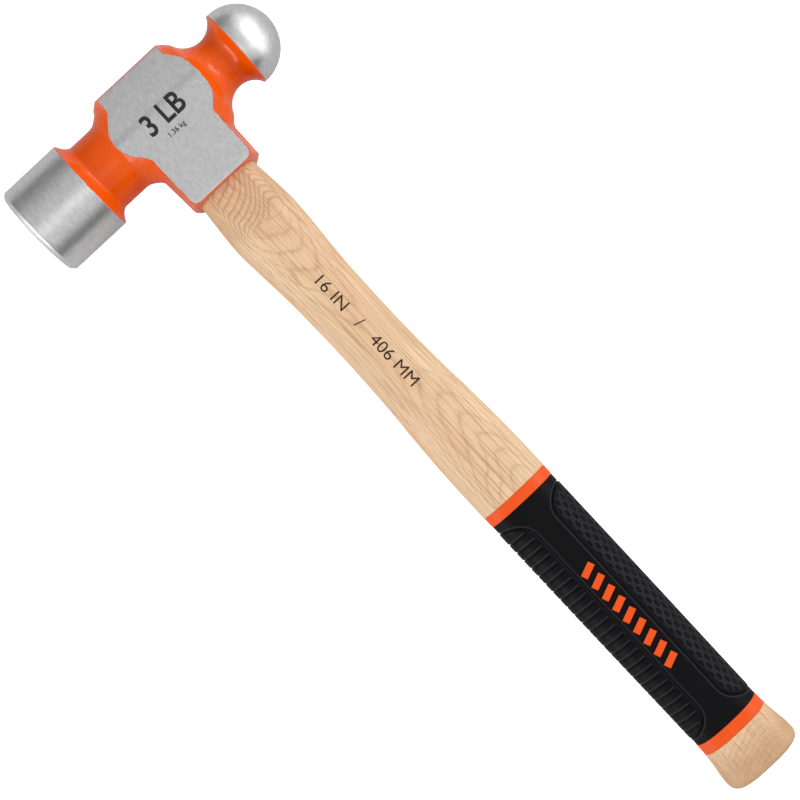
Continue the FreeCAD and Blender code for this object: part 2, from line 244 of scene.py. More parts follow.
def bend(start, corner, end, count):
    """Points of a small curve that rounds a corner."""
    points = []
    for part in spread(0, 1, count):
        first = [mix(a, b, part) for a, b in zip(start, corner)]
        second = [mix(a, b, part) for a, b in zip(corner, end)]
        points.append(tuple(mix(a, b, part) for a, b in zip(first, second)))
    return points


def poll_outline():
    """(radius, Y) from the middle of the face to the neck."""
    centre = FACE_APEX + CROWN_RADIUS
    points = [(radius, centre - math.sqrt(CROWN_RADIUS ** 2 - radius ** 2))
              for radius in spread(0.02 * FACE_RADIUS, 0.985 * FACE_RADIUS, 12)]
    points += bend(points[-1], (FACE_RADIUS, FACE_EDGE), (FACE_RADIUS + 0.3, FACE_EDGE + 0.3), 3)[1:]
    points += bend((POLL_RADIUS - 0.35, POLL_RIM - 0.35), (POLL_RADIUS, POLL_RIM),
                   (POLL_RADIUS, POLL_RIM + 0.5), 4)
    points += [(POLL_RADIUS, y) for y in spread(POLL_RIM + 1.0, POLL_BACK - 0.8, 12)]
    points += bend((POLL_RADIUS, POLL_BACK - 0.35), (POLL_RADIUS, POLL_BACK),
                   (POLL_RADIUS - 0.3, POLL_BACK + 0.3), 4)
    points += bend((POLL_RADIUS - 0.6, POLL_BACK + 0.55), (NECK_RADIUS + 0.9, NECK_FRONT - 1.9),
                   (NECK_RADIUS, NECK_FRONT + 0.6), 9)
    points += [(NECK_RADIUS, y) for y in spread(NECK_FRONT + 1.6,
                                                BLOCK_POLL_SIDE - NECK_FLARE - 0.4, 7)]
    return points


def ball_outline():
    """(radius, Y) from the waist over the ball to its apex."""
    points = []
    edge = math.acos((WAIST_RADIUS + WAIST_CUP - BALL_RADIUS + 0.1) / WAIST_CUP)
    for angle in spread(0, edge, 14)[1:]:
        points.append((WAIST_RADIUS + WAIST_CUP * (1 - math.cos(angle)),
                       WAIST_AT + WAIST_CUP * math.sin(angle)))
    points += [(BALL_RADIUS - 0.05, BALL_CENTRE - 0.45), (BALL_RADIUS, BALL_CENTRE - 0.2)]
    for angle in spread(0, math.pi / 2, 34)[:-1]:
        points.append((BALL_RADIUS * math.cos(angle), BALL_CENTRE + BALL_RADIUS * math.sin(angle)))
    return points


def block_outline(angle):
    """(radius, Y, distance inside the cheek's ground outline) over flares, walls and faces."""
    reach = block_reach(angle)
    x, z = reach * math.cos(angle), abs(reach * math.sin(angle))
    on_cheek = smoothstep(CHEEK - 0.4, CHEEK - 0.02, z)
    edge = mix(CAST_EDGE, GROUND_EDGE, on_cheek)
    ground = on_cheek > 0.5
    to_end = min(x - BLOCK_TOP, BLOCK_BOTTOM - x) + 0.4
    points = []
    inner = reach - edge
    for part in eased(20):
        radius = mix(NECK_RADIUS, inner, part)
        points.append((radius, poll_flare(radius, angle), -(inner - radius) - edge))
    start_y, end_y = poll_flare(reach, angle), ball_flare(reach, angle)
    rise = bend(points[-1][:2], (reach, start_y), (reach, start_y + edge), 4)[1:]
    points += [(radius, y, (y - start_y) if ground else -edge) for radius, y in rise]
    for y in spread(start_y + edge, end_y - edge, 26)[1:-1]:
        depth = min(y - start_y, end_y - y, to_end)
        points.append((reach, y, depth if ground else -1.0))
    fall = bend((reach, end_y - edge), (reach, end_y), (inner, ball_flare(inner, angle)), 4)
    points += [(radius, y, (end_y - y) if ground else -edge) for radius, y in fall[:-1]]
    for part in reversed(eased(24)):
        radius = mix(WAIST_RADIUS, inner, part)
        points.append((radius, ball_flare(radius, angle), -(inner - radius) - edge))
    return points


def make_head(material):
    """The forging: one closed skin of outlines turned about the head's axis."""
    front, back = poll_outline(), ball_outline()
    angles = corner_angles()
    columns = []
    for angle in angles:
        column = [(r, y, -10.0) for r, y in front]
        column += block_outline(angle)
        column += [(r, y, -10.0) for r, y in back]
        columns.append(column)
    rows = len(columns[0])
    points, depth = [], []
    for row in range(rows):
        for angle, column in zip(angles, columns):
            radius, y, inside = column[row]
            points.append((radius * math.cos(angle), y, radius * math.sin(angle)))
            depth.append(inside)
    count = len(angles)
    faces = ring_faces(rows, count)
    points += [(0, FACE_APEX, 0), (0, BALL_CENTRE + BALL_RADIUS, 0)]
    depth += [-10.0, -10.0]
    face_middle, ball_middle = len(points) - 2, len(points) - 1
    last = (rows - 1) * count
    for column in range(count):
        after = (column + 1) % count
        faces.append((face_middle, after, column))
        faces.append((ball_middle, last + column, last + after))
    head = mesh_piece("hammer_head", points, faces, material)
    layer = head.data.attributes.new("ground_depth", "FLOAT", "POINT")
    layer.data.foreach_set("value", depth)
    cut_eye(head)
    tidy_mesh(head, 0.004, 28.0)
    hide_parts("head")
    return head


def slot_outline(long_way, thick, count=16):
    """(Y, Z) round a slot with half-round ends."""
    half, flat = thick / 2, (long_way - thick) / 2
    outline = [(flat + half * math.cos(a), half * math.sin(a))
               for a in spread(-math.pi / 2, math.pi / 2, count)]
    return outline + [(-y, -z) for y, z in outline]


def cut_eye(head):
    """Open the eye through the forging."""
    top = slot_outline(*(size + EYE_CLEAR for size in EYE_TOP))
    low = slot_outline(*(size + EYE_CLEAR for size in EYE_LOW))
    mouth = slot_outline(*(size + EYE_MOUTH for size in EYE_TOP))
    count = len(top)
    points = [(BLOCK_TOP - 0.2, y, z) for y, z in mouth]
    points += [(BLOCK_TOP + 0.7, y, z) for y, z in top]
    points += [(BLOCK_BOTTOM + 3, y, z) for y, z in low]
    faces = ring_faces(3, count)
    faces += [tuple(reversed(range(count))), tuple(range(2 * count, 3 * count))]
    mesh = bpy.data.meshes.new("eye_cutter")
    mesh.from_pydata([to_row(*point) for point in points], [], faces)
    cutter = bpy.data.objects.new("eye_cutter", mesh)
    bpy.context.scene.collection.objects.link(cutter)
    work = bmesh.new()
    for target in (mesh, head.data):
        work.from_mesh(target)
        bmesh.ops.remove_doubles(work, verts=work.verts, dist=0.004 * MM)
        bmesh.ops.recalc_face_normals(work, faces=work.faces)
        work.to_mesh(target)
        work.clear()
    work.free()
    boolean = head.modifiers.new("eye", "BOOLEAN")
    boolean.operation = "DIFFERENCE"
    boolean.solver = "EXACT"
    boolean.object = cutter
    result = bpy.data.meshes.new_from_object(
        head.evaluated_get(bpy.context.evaluated_depsgraph_get()))
    head.modifiers.clear()
    head.data = result
    bpy.data.objects.remove(cutter)


# ------------------------------------------------------------------ handle
def station(x):
    """(half width, half depth) of the handle at X, on a smooth curve through the stations."""
    places = [row[0] for row in STATIONS]
    x = min(max(x, places[0]), places[-1])
    index = max(i for i in range(len(places) - 1) if places[i] <= x)
    span = places[index + 1] - places[index]
    part = (x - places[index]) / span

    def slope(at, column):
        before, after = max(at - 1, 0), min(at + 1, len(places) - 1)
        rise = STATIONS[after][column] - STATIONS[before][column]
        return rise / (places[after] - places[before])

    sizes = []
    for column in (1, 2):
        a, b = STATIONS[index][column], STATIONS[index + 1][column]
        out, into = slope(index, column) * span, slope(index + 1, column) * span
        sizes.append((2 * part ** 3 - 3 * part ** 2 + 1) * a + (part ** 3 - 2 * part ** 2 + part) * out
                     + (3 * part ** 2 - 2 * part ** 3) * b + (part ** 3 - part ** 2) * into)
    return sizes


def oval_turns(count):
    """Angles that space points evenly round the squarish oval of the grip."""
    fine = 4000
    width, depth = station(290)
    lengths, turns = [0.0], [0.0]
    before = oval_point(0, width, depth)
    for index in range(1, fine + 1):
        turn = 2 * math.pi * index / fine
        here = oval_point(turn, width, depth)
        lengths.append(lengths[-1] + math.dist(before, here))
        turns.append(turn)
        before = here
    picked, at = [], 0
    for index in range(count):
        goal = lengths[-1] * index / count
        while lengths[at + 1] < goal:
            at += 1
        picked.append(turns[at])
    return picked, lengths[-1]


def oval_point(turn, width, depth):
    """(Y, Z) on a squarish oval."""
    power = 2 / OVAL_POWER
    across, up = math.cos(turn), math.sin(turn)
    return (math.copysign(abs(across) ** power, across) * width,
            math.copysign(abs(up) ** power, up) * depth)


def root_limit(x):
    """Half thickness that the sloping root cuts leave at X."""
    if x >= ROOT_END:
        return 99.0
    part = max(x - BLOCK_BOTTOM, 0.0) / (ROOT_END - BLOCK_BOTTOM)
    return STATIONS[2][2] - ROOT_CUT * (1 - part ** 1.6)


def handle_ring(x, turns, inset=0.0):
    """One ring of the handle's surface, with the root cuts and their softened edges."""
    width, depth = station(x)
    ring = []
    limit = root_limit(x)
    for turn in turns:
        y, z = oval_point(turn, width - inset, depth - inset)
        eased_limit = limit - max(limit - abs(z), 0.0) * 0.5 - ROOT_EASE
        ring.append((x, y, math.copysign(min(abs(z), eased_limit), z)))
    return ring


def make_handle(material):
    """Shaft, butt and the two halves of the tenon."""
    turns, _length = oval_turns(144)
    rings = [handle_ring(BLOCK_BOTTOM - 0.4, turns, 0.3)]
    rings += [handle_ring(x, turns) for x in spread(BLOCK_BOTTOM, ROOT_END + 2, 56)]
    rings += [handle_ring(x, turns) for x in spread(ROOT_END + 4, GRIP_START - 0.25, 60)]
    rings.append(handle_ring(GRIP_START - 0.05, turns, 0.2))
    rings += [handle_ring(x, turns, SLEEVE_WALL) for x in (GRIP_START, GRIP_END)]
    rings.append(handle_ring(GRIP_END + 0.05, turns, 0.2))
    rings += [handle_ring(x, turns) for x in spread(GRIP_END + 0.25, BUTT_END - BUTT_ROUND, 14)]
    for angle in spread(0, math.pi / 2, 9)[1:]:
        inset = BUTT_ROUND * (1 - math.cos(angle))
        rings.append(handle_ring(BUTT_END - BUTT_ROUND * (1 - math.sin(angle)), turns, inset))
    width, depth = station(BUTT_END)
    for part in (0.85, 0.65, 0.45, 0.25, 0.1):
        rings.append([(BUTT_END, y * part, z * part)
                      for y, z in (oval_point(t, width - BUTT_ROUND, depth - BUTT_ROUND)
                                   for t in turns)])
    count = len(turns)
    points = [point for ring in rings for point in ring]
    faces = ring_faces(len(rings), count)
    faces += [tuple(reversed(range(count))),
              tuple(range((len(rings) - 1) * count, len(rings) * count))]
    for side in (1, -1):
        first = len(points)
        half_points, half_faces = tenon_half(side)
        points += half_points
        faces += [tuple(first + index for index in face) for face in half_faces]
    handle = mesh_piece("hickory_handle", points, faces, material)
    tidy_mesh(handle, 0.002, 40.0)
    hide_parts("handle")
    return handle


def tenon_half(side):
    """Half of the tenon, on one side of the kerf that the wooden wedge opens."""
    rings = []
    sections = ((BLOCK_TOP + 0.15, EYE_TOP, KERF_TOP), (BLOCK_BOTTOM, EYE_LOW, 0.02))
    for x, (long_way, thick), kerf in sections:
        half = [(y, max(z, kerf / 2)) for y, z in slot_outline(long_way, thick, 24) if z > -0.001]
        half = sorted(half, key=lambda point: -point[0])
        ring = half + [(half[-1][0], kerf / 2 - 0.001), (half[0][0], kerf / 2 - 0.001)]
        rings.append([(x, y, z * side) for y, z in ring])
    count = len(rings[0])
    faces = ring_faces(2, count)
    faces += [tuple(range(count)), tuple(reversed(range(count, 2 * count)))]
    return [point for ring in rings for point in ring], faces


# ------------------------------------------------------------------ grip
PANEL_START = 233.6
PANEL_END = 351.6
PANEL_EDGE = {1: 6.5, -1: 5.7}
PANEL_CORNER = 9.0
PANEL_RAISE = 0.28
COVER_INSET = 0.3
RIB_FIRST = 238.5
RIB_PITCH = 4.6
RIB_COUNT = 25
CELL_LONG = 6.35
CELL_ROW = 2.1
BAR_COUNT = 9
BAR_FIRST = 268.0
BAR_PITCH = 6.5
BAR_WIDE = 3.2
BAR_LONG = 7.0
BAR_SLANT = math.radians(22.0)
COVER_AROUND = 288
COVER_ALONG = 560


def panel_distance(x, across, side, half_round):
    """Signed distance inside a panel's outline; across is measured round from the top line."""
    middle_x, middle_c = (PANEL_START + PANEL_END) / 2, half_round / 2
    from_seam = min(across, half_round - across)
    reach_x = (PANEL_END - PANEL_START) / 2 + 1.5 * smoothstep(9.0, 20.0, from_seam)
    reach_c = half_round / 2 - PANEL_EDGE[side]
    dx = abs(x - middle_x) - (reach_x - PANEL_CORNER)
    dc = abs(across - middle_c) - (reach_c - PANEL_CORNER)
    outside = math.hypot(max(dx, 0.0), max(dc, 0.0))
    return PANEL_CORNER - outside - min(max(dx, dc), 0.0)


def rib_relief(x, inside):
    """(groove depth, lit edge) of the ribbed panel at a place."""
    nearest = round((x - RIB_FIRST) / RIB_PITCH)
    if not 0 <= nearest < RIB_COUNT:
        return 0.0, 0.0
    off = x - RIB_FIRST - nearest * RIB_PITCH
    within = smoothstep(1.2, 1.8, inside)
    groove = 1 - smoothstep(0.22, 0.62, abs(off))
    # Painted highlight: a light line beside one side of each groove, later lightened in the cover's
    # colour.
    lit = 1 - smoothstep(0.12, 0.50, abs(off + 0.85))
    return 0.60 * groove * within, lit * within


def cell_relief(x, across, inside):
    """(pocket depth, lit rim) of the textured panel at a place."""
    row = round(across / CELL_ROW)
    nearest = 9.0
    for r in (row - 1, row, row + 1):
        shift = CELL_LONG / 2 if r % 2 else 0.0
        column = round((x - shift) / CELL_LONG)
        dx, dc = x - shift - column * CELL_LONG, across - r * CELL_ROW
        nearest = min(nearest, math.hypot(dx / 1.75, dc / 0.80))
    within = smoothstep(1.5, 2.2, inside)
    pocket = 1 - smoothstep(0.55, 1.05, nearest)
    # Painted highlight: a light ring round each pocket, later lightened in the cover's colour.
    rim = 1 - smoothstep(0.15, 0.55, abs(nearest - 1.45))
    return 0.45 * pocket * within, 0.55 * rim * within


def bar_distance(x, y):
    """Signed distance inside the nearest slanted bar of the mark."""
    nearest = min(max(round((x - BAR_FIRST) / BAR_PITCH), 0), BAR_COUNT - 1)
    dx, dy = x - BAR_FIRST - nearest * BAR_PITCH, y
    along = dy * math.cos(BAR_SLANT) - dx * math.sin(BAR_SLANT)
    over = dx * math.cos(BAR_SLANT) + dy * math.sin(BAR_SLANT)
    return min(BAR_WIDE / 2 - abs(over), BAR_LONG / 2 - abs(along))


def cover_relief(x, y, z, across, half_round):
    """(how far the cover lies inside the CAD outline, how much an edge catches the light)."""
    side = 1 if y > 0 else -1
    inside = panel_distance(x, across, side, half_round)
    inset = COVER_INSET - PANEL_RAISE * smoothstep(0.1, 0.6, inside)
    inset += 0.50 * (1 - smoothstep(0.2, 0.55, abs(inside)))
    # Painted highlight: a light line just outside the panel's outline, later lightened in the cover's
    # colour.
    lit = 0.8 * (1 - smoothstep(0.15, 0.50, abs(inside + 0.85)))
    if inside > 0:
        deep, edge = cell_relief(x, across, inside) if side > 0 else rib_relief(x, inside)
        inset, lit = inset + deep, max(lit, edge)
    if z > 0 and abs(y) < BAR_LONG:
        to_bar = bar_distance(x, y)
        inset += 1.2 * smoothstep(0.0, 0.3, to_bar - 0.1)
        inset += 0.35 * (1 - smoothstep(0.15, 0.40, abs(to_bar + 0.25)))
    return inset, lit


def make_cover(material):
    """The black cover: ribbed panel, textured panel, smooth bands and the mark's windows."""
    turns, round_length = oval_turns(COVER_AROUND)
    half_round, quarter = round_length / 2, round_length / 4
    rings = [handle_ring(COVER_START, turns, COVER_WALL),
             handle_ring(COVER_START, turns, COVER_INSET + 0.15)]
    lit_edges = [0.0] * (2 * COVER_AROUND)
    for x in spread(COVER_START + 0.12, COVER_END - 0.12, COVER_ALONG):
        width, depth = station(x)
        ring = []
        for index, turn in enumerate(turns):
            y, z = oval_point(turn, width, depth)
            round_place = round_length * index / len(turns)
            across = abs(((round_place - quarter + half_round) % round_length) - half_round)
            inset, lit = cover_relief(x, y, z, across, half_round)
            ring.append((x, *oval_point(turn, width - inset, depth - inset)))
            lit_edges.append(lit)
        rings.append(ring)
    rings.append(handle_ring(COVER_END, turns, COVER_INSET + 0.15))
    rings.append(handle_ring(COVER_END, turns, COVER_WALL))
    lit_edges += [0.0] * (2 * COVER_AROUND)
    points = [point for ring in rings for point in ring]
    faces = ring_faces(len(rings), len(turns), closed_rows=True)
    cover = mesh_piece("grip_cover_skin", points, faces, material)
    layer = cover.data.attributes.new("lit_edge", "FLOAT", "POINT")
    layer.data.foreach_set("value", lit_edges)
    tidy_mesh(cover, 0.002, 60.0)
    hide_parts("grip_cover")
    return cover


def make_liner(material):
    """The orange sleeve with its end bands and the bars of the mark."""
    turns, _length = oval_turns(160)
    rings = []
    for start, end in ((GRIP_START, COVER_START), (COVER_END, GRIP_END)):
        rings.append(handle_ring(start, turns, COVER_WALL if start > GRIP_START else 0.3))
        rings += [handle_ring(x, turns, 0.12 + 0.16 * (abs(2 * part - 1) ** 8))
                  for part, x in zip(spread(0, 1, 14), spread(start + 0.03, end - 0.03, 14))]
        rings.append(handle_ring(end, turns, COVER_WALL if end < GRIP_END else 0.3))
    rings += [handle_ring(x, turns, SLEEVE_WALL - 0.05) for x in (GRIP_END, GRIP_START)]
    count = len(turns)
    points = [point for ring in rings for point in ring]
    faces = ring_faces(len(rings), count, closed_rows=True)
    for index in range(BAR_COUNT):
        first = len(points)
        bar_points, bar_faces = mark_bar(BAR_FIRST + index * BAR_PITCH)
        points += bar_points
        faces += [tuple(first + at for at in face) for face in bar_faces]
    liner = mesh_piece("grip_liner_skin", points, faces, material)
    tidy_mesh(liner, 0.002, 50.0)
    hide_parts("grip_liner")
    return liner


def mark_bar(centre):
    """One slanted bar: a softly domed top on straight sides."""
    columns, rows = 8, 16
    points = []
    for row in range(rows + 1):
        for column in range(columns + 1):
            over = mix(-BAR_WIDE / 2, BAR_WIDE / 2, column / columns)
            along = mix(-BAR_LONG / 2, BAR_LONG / 2, row / rows)
            x = centre + over * math.cos(BAR_SLANT) - along * math.sin(BAR_SLANT)
            y = over * math.sin(BAR_SLANT) + along * math.cos(BAR_SLANT)
            rim = min(BAR_WIDE / 2 - abs(over), BAR_LONG / 2 - abs(along))
            width, depth = station(x)
            height = depth * (1 - (abs(y) / width) ** OVAL_POWER) ** (1 / OVAL_POWER)
            drop = COVER_INSET - 0.06 + 0.1 * (1 - smoothstep(0.0, 0.35, rim))
            points.append((x, y, height - drop))
    wide = columns + 1
    faces = [(row * wide + column, row * wide + column + 1,
              (row + 1) * wide + column + 1, (row + 1) * wide + column)
             for row in range(rows) for column in range(columns)]
    rim_loop = list(range(wide))
    rim_loop += [row * wide + columns for row in range(1, rows + 1)]
    rim_loop += [rows * wide + column for column in reversed(range(columns))]
    rim_loop += [row * wide for row in reversed(range(1, rows))]
    base = len(points)
    points += [(points[at][0], points[at][1], points[at][2] - 1.4) for at in rim_loop]
    total = len(rim_loop)
    for at in range(total):
        after = (at + 1) % total
        faces.append((rim_loop[after], rim_loop[at], base + at, base + after))
    faces.append(tuple(base + at for at in reversed(range(total))))
    return points, faces


# ------------------------------------------------------------------ lettering
INK_LIFT = 0.035
INK_STEP = 1.5


def lettering(name, words, height, centre, turn, weight, squeeze, material, surface):
    """Flat ink in the built-in letters, laid on a surface; centre and sizes in millimetres."""
    curve = bpy.data.curves.new(name, "FONT")
    curve.body = words
    curve.size = 1.0
    curve.offset = weight
    curve.resolution_u = 6
    draft = bpy.data.objects.new(name, curve)
    bpy.context.scene.collection.objects.link(draft)
    bpy.context.view_layer.update()
    mesh = bpy.data.meshes.new_from_object(
        draft.evaluated_get(bpy.context.evaluated_depsgraph_get()))
    bpy.data.objects.remove(draft)
    low_x, high_x = (f(v.co.x for v in mesh.vertices) for f in (min, max))
    low_y, high_y = (f(v.co.y for v in mesh.vertices) for f in (min, max))
    scale = height / (high_y - low_y)
    work = bmesh.new()
    work.from_mesh(mesh)
    bmesh.ops.remove_doubles(work, verts=work.verts, dist=1e-5)
    for low, high, normal in ((low_x, high_x, Vector((1, 0, 0))), (low_y, high_y, Vector((0, 1, 0)))):
        for place in spread(low, high, round((high - low) * scale / INK_STEP))[1:-1]:
            bmesh.ops.bisect_plane(work, geom=[*work.verts, *work.edges, *work.faces],
                                   plane_co=normal * place, plane_no=normal)
    bmesh.ops.triangulate(work, faces=work.faces, ngon_method="EAR_CLIP")
    cosine, sine = math.cos(turn), math.sin(turn)
    for vertex in work.verts:
        across = (vertex.co.x - (low_x + high_x) / 2) * scale * squeeze
        up = (vertex.co.y - (low_y + high_y) / 2) * scale
        x = centre[0] + across * cosine - up * sine
        y = centre[1] + across * sine + up * cosine
        vertex.co = to_row(x, y, surface(x, y) + INK_LIFT)
    bmesh.ops.recalc_face_normals(work, faces=work.faces)
    if work.faces and sum(face.normal.z for face in work.faces) < 0:
        bmesh.ops.reverse_faces(work, faces=work.faces)
    work.to_mesh(mesh)
    work.free()
    mesh.materials.clear()
    mesh.materials.append(material)
    piece = bpy.data.objects.new(name, mesh)
    bpy.context.scene.collection.objects.link(piece)
    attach(piece, "root")
    return piece


def cheek_surface(_x, _y):
    """Height of the upper cheek."""
    return CHEEK


def handle_surface(x, y):
    """Height of the handle's upper side at a place."""
    width, depth = station(x)
    return depth * (1 - (abs(y) / width) ** OVAL_POWER) ** (1 / OVAL_POWER)


# ------------------------------------------------------------------ materials
def fill_ramp(elements, stops):
    """Give a colour ramp its stops: (place, colour or grey), in rising order."""
    elements[0].position, elements[1].position = stops[0][0], stops[-1][0]
    for place, _colour in stops[1:-1]:
        elements.new(place)
    for element, (_place, colour) in zip(elements, stops):
        grey = (colour,) * 3 if isinstance(colour, (int, float)) else colour
        element.color = (*grey, 1.0)


class Nodes:
    """Shorthand for building one procedural material."""

    def __init__(self, name):
        self.material = bpy.data.materials.new(name)
        self.material.use_nodes = True
        self.tree = self.material.node_tree
        self.tree.nodes.clear()
        self.output = self.tree.nodes.new("ShaderNodeOutputMaterial")
        self.shader = self.tree.nodes.new("ShaderNodeBsdfPrincipled")
        self.link(self.shader.outputs[0], self.output.inputs[0])

    def link(self, source, target):
        self.tree.links.new(source, target)

    def put(self, socket, value):
        """Set a socket, or link it if value is another node's output."""
        if isinstance(value, bpy.types.NodeSocket):
            self.link(value, socket)
        elif isinstance(value, tuple) and socket.type == "RGBA":
            socket.default_value = (*value[:3], 1.0)
        else:
            socket.default_value = value

    def set(self, **values):
        """Set inputs of the shader; underscores stand for spaces."""
        for name, value in values.items():
            self.put(self.shader.inputs[name.replace("_", " ")], value)

    def node(self, kind, inputs=None, **settings):
        made = self.tree.nodes.new(f"ShaderNode{kind}")
        for name, value in settings.items():
            setattr(made, name, value)
        for key, value in (inputs or {}).items():
            self.put(made.inputs[key], value)
        return made

    def place(self, scale=(1, 1, 1), move=(0, 0, 0)):
        """Object coordinates in millimetres from the eye's centre, then scaled."""
        coordinates = self.node("TexCoord").outputs["Object"]
        shift = self.node("VectorMath", {0: coordinates, 1: tuple(-v for v in EYE)},
                          operation="ADD").outputs[0]
        mm = self.node("VectorMath", {0: shift, 3: 1 / MM}, operation="SCALE").outputs[0]
        return self.node("Mapping", {"Vector": mm, "Location": move, "Scale": scale}).outputs[0]

    def noise(self, vector, scale=1.0, detail=3.0, rough=0.5):
        return self.node("TexNoise", {"Vector": vector, "Scale": scale, "Detail": detail,
                                      "Roughness": rough}).outputs[0]

    def math(self, operation, first, second=0.0):
        return self.node("Math", {0: first, 1: second}, operation=operation).outputs[0]

    def ramp(self, value, *stops):
        """Colour or grey by value: stops are (place, colour)."""
        made = self.node("ValToRGB", {0: value})
        fill_ramp(made.color_ramp.elements, stops)
        return made.outputs[0]

    def blend(self, part, first, second, kind="MIX"):
        made = self.node("Mix", data_type="RGBA", blend_type=kind)
        for index, value in ((0, part), (6, first), (7, second)):
            self.put(made.inputs[index], value)
        return made.outputs[2]

    def between(self, value, low, high, to_low=0.0, to_high=1.0):
        return self.node("MapRange", {0: value, 1: low, 2: high, 3: to_low, 4: to_high}).outputs[0]

    def bump(self, height, strength, distance):
        return self.node("Bump", {"Height": height, "Strength": strength,
                                  "Distance": distance}).outputs[0]


def axis_of(nodes, vector, axis):
    """One component of a vector: 0, 1 or 2 for X, Y or Z."""
    return nodes.node("SeparateXYZ", {0: vector}).outputs[axis]


def head_material():
    """Ground steel on poll, ball and cheeks, glossy orange enamel on the rest."""
    n = Nodes("head_steel_and_enamel")
    base = n.place()
    y = axis_of(n, base, 1)
    waver = n.noise(base, 0.35, 3.0, 0.6)
    wobble = n.math("MULTIPLY", n.math("SUBTRACT", waver, 0.5), 1.1)
    depth = n.node("Attribute", attribute_name="ground_depth").outputs["Fac"]
    cheek = n.between(n.math("ADD", depth, wobble), 0.18, 0.30)
    ragged = n.math("MULTIPLY", n.math("SUBTRACT", waver, 0.5), 0.5)
    poll = n.between(n.math("ADD", y, ragged), POLL_BACK + 0.08, POLL_BACK - 0.08)
    ball = n.between(n.math("ADD", y, ragged), BALL_PAINT_EDGE - 0.08, BALL_PAINT_EDGE + 0.08)
    bare = n.math("MAXIMUM", cheek, n.math("MAXIMUM", poll, ball))

    along = n.noise(n.place((0.28, 3.0, 1.0)), 1.0, 5.0, 0.7)
    across = n.noise(n.place((0.35, 0.5, 0.35)), 1.0, 4.0, 0.6)
    turned = n.noise(n.place((0.25, 6.0, 0.25)), 1.0, 3.0, 0.6)
    grain = n.noise(base, 4.5, 2.0, 0.7)
    ends = n.math("MAXIMUM", poll, ball)
    brushing = n.blend(ends, along, turned)
    steel = n.ramp(n.math("ADD", n.math("MULTIPLY", brushing, 0.7),
                          n.math("MULTIPLY", across, 0.3)),
                   (0.25, (0.47, 0.47, 0.475)), (0.75, (0.90, 0.90, 0.905)))
    steel = n.blend(n.math("MULTIPLY", grain, 0.18), steel, (0.30, 0.30, 0.31))
    fleck = n.noise(n.place((0.55, 3.4, 1.0), (4, 1, 2)), 1.0, 3.0, 0.7)
    fleck = n.math("MULTIPLY", n.between(fleck, 0.54, 0.70, 0.0, 0.50), cheek)
    steel = n.blend(fleck, steel, (0.34, 0.34, 0.345))
    # Painted shade: the ground cheek is darker on the half away from the handle, with a darker narrow
    # line across its middle, standing in for the shading of a slight second grinding facet.
    facet_step_at = n.math("ADD", axis_of(n, base, 0), n.math("MULTIPLY", wobble, 1.5))
    facet_shade = n.ramp(n.between(facet_step_at, -24.0, 24.0),
                         (0.0, 0.84), (0.42, 0.93), (0.465, 0.80), (0.52, 1.0), (1.0, 1.0))
    steel = n.blend(cheek, steel, n.blend(1.0, steel, facet_shade, "MULTIPLY"))
    tone = n.noise(base, 0.05, 3.0, 0.6)
    enamel = n.ramp(tone, (0.2, (0.72, 0.078, 0.001)), (0.8, (0.78, 0.094, 0.002)))

    rough_steel = n.blend(ends, n.between(brushing, 0.2, 0.8, 0.30, 0.42),
                          n.between(brushing, 0.2, 0.8, 0.29, 0.39))
    rough_paint = n.between(n.noise(base, 0.4, 3.0), 0.2, 0.8, 0.12, 0.20)
    n.set(Base_Color=n.blend(bare, enamel, steel), Metallic=bare,
          Roughness=n.blend(bare, rough_paint, rough_steel), IOR=1.5,
          Specular_IOR_Level=0.22)
    swell = n.noise(base, 0.16, 2.0, 0.5)
    peel = n.noise(base, 0.9, 2.0, 0.5)
    paint_height = n.math("ADD", n.math("MULTIPLY", swell, 0.26), n.math("MULTIPLY", peel, 0.02))
    paint_height = n.math("MULTIPLY", paint_height, n.math("SUBTRACT", 1.0, bare))
    steel_height = n.math("MULTIPLY", n.math("ADD", n.math("MULTIPLY", brushing, 0.012),
                                             n.math("MULTIPLY", grain, 0.004)), bare)
    lip = n.math("MULTIPLY", bare, -0.10)
    total = n.math("ADD", n.math("ADD", paint_height, steel_height), lip)
    n.set(Normal=n.bump(total, 1.0, MM))
    return n.material


